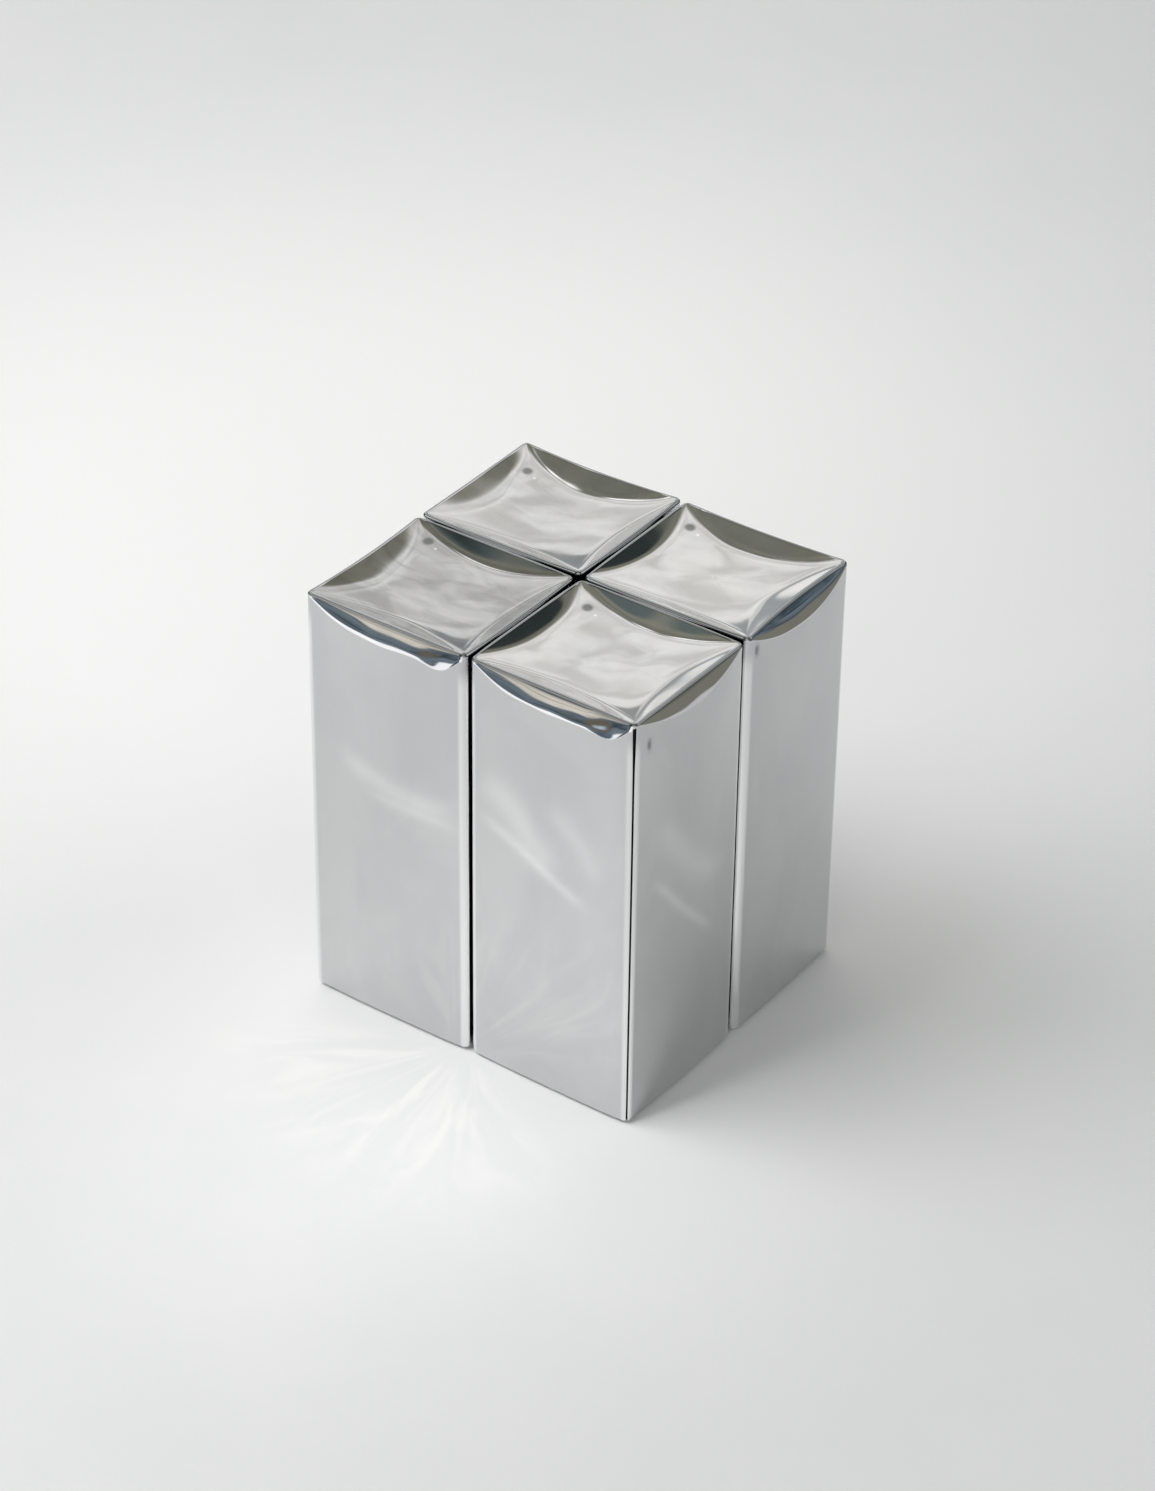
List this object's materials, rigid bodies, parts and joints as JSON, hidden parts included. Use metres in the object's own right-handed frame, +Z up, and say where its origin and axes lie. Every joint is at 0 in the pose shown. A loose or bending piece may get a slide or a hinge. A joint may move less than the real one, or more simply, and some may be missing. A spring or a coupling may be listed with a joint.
{
  "type": "mirror block set",
  "caption": "Tall mirror-polished metal blocks with dished tops that stand two by two on hidden rubber feet, drawn together by magnets, and lift out one at a time.",
  "frame": {"origin": "middle of the set's footprint, on the surface that it stands on", "axes": "+Z up; +X runs from the left block to the front block, along the wider sides; +Y runs from the front block to the right block"},
  "size_m": [0.0838, 0.0778, 0.098],
  "materials": {
    "mirror_sleeve": "mirror-polished sheet metal, slightly wavy",
    "mirror_top": "mirror-polished pressed panel",
    "base_steel": "brushed",
    "screw_steel": "blackened, satin",
    "foot_rubber": "matte",
    "core_plastic": "fine moulded texture",
    "carrier_plastic": "fine moulded texture",
    "ballast_iron": "as cast, lightly oiled",
    "magnet_nickel": "nickel plated",
    "damping_foam": "open-cell foam"
  },
  "bodies": {
    "left_block": {"left_sleeve": "mirror_sleeve", "left_top_panel": "mirror_top", "left_base_plate": "base_steel", "left_base_screws": "screw_steel", "left_foot_pads": "foot_rubber", "left_core": "core_plastic", "left_ballast": "ballast_iron", "left_magnet_carrier_x": "carrier_plastic", "left_magnet_carrier_y": "carrier_plastic", "left_magnets": "magnet_nickel", "left_dish_foam": "damping_foam"},
    "front_block": {"front_sleeve": "mirror_sleeve", "front_top_panel": "mirror_top", "front_base_plate": "base_steel", "front_base_screws": "screw_steel", "front_foot_pads": "foot_rubber", "front_core": "core_plastic", "front_ballast": "ballast_iron", "front_magnet_carrier_x": "carrier_plastic", "front_magnet_carrier_y": "carrier_plastic", "front_magnets": "magnet_nickel", "front_dish_foam": "damping_foam"},
    "right_block": {"right_sleeve": "mirror_sleeve", "right_top_panel": "mirror_top", "right_base_plate": "base_steel", "right_base_screws": "screw_steel", "right_foot_pads": "foot_rubber", "right_core": "core_plastic", "right_ballast": "ballast_iron", "right_magnet_carrier_x": "carrier_plastic", "right_magnet_carrier_y": "carrier_plastic", "right_magnets": "magnet_nickel", "right_dish_foam": "damping_foam"},
    "rear_block": {"rear_sleeve": "mirror_sleeve", "rear_top_panel": "mirror_top", "rear_base_plate": "base_steel", "rear_base_screws": "screw_steel", "rear_foot_pads": "foot_rubber", "rear_core": "core_plastic", "rear_ballast": "ballast_iron", "rear_magnet_carrier_x": "carrier_plastic", "rear_magnet_carrier_y": "carrier_plastic", "rear_magnets": "magnet_nickel", "rear_dish_foam": "damping_foam"}
  },
  "joints": [
    {"name": "left_lift", "type": "slide", "parent": "rear_block", "child": "left_block", "axis": [0, 0, 1], "range_m": [0, 0.11]},
    {"name": "front_lift", "type": "slide", "parent": "rear_block", "child": "front_block", "axis": [0, 0, 1], "range_m": [0, 0.11]},
    {"name": "right_lift", "type": "slide", "parent": "rear_block", "child": "right_block", "axis": [0, 0, 1], "range_m": [0, 0.11]}
  ]
}
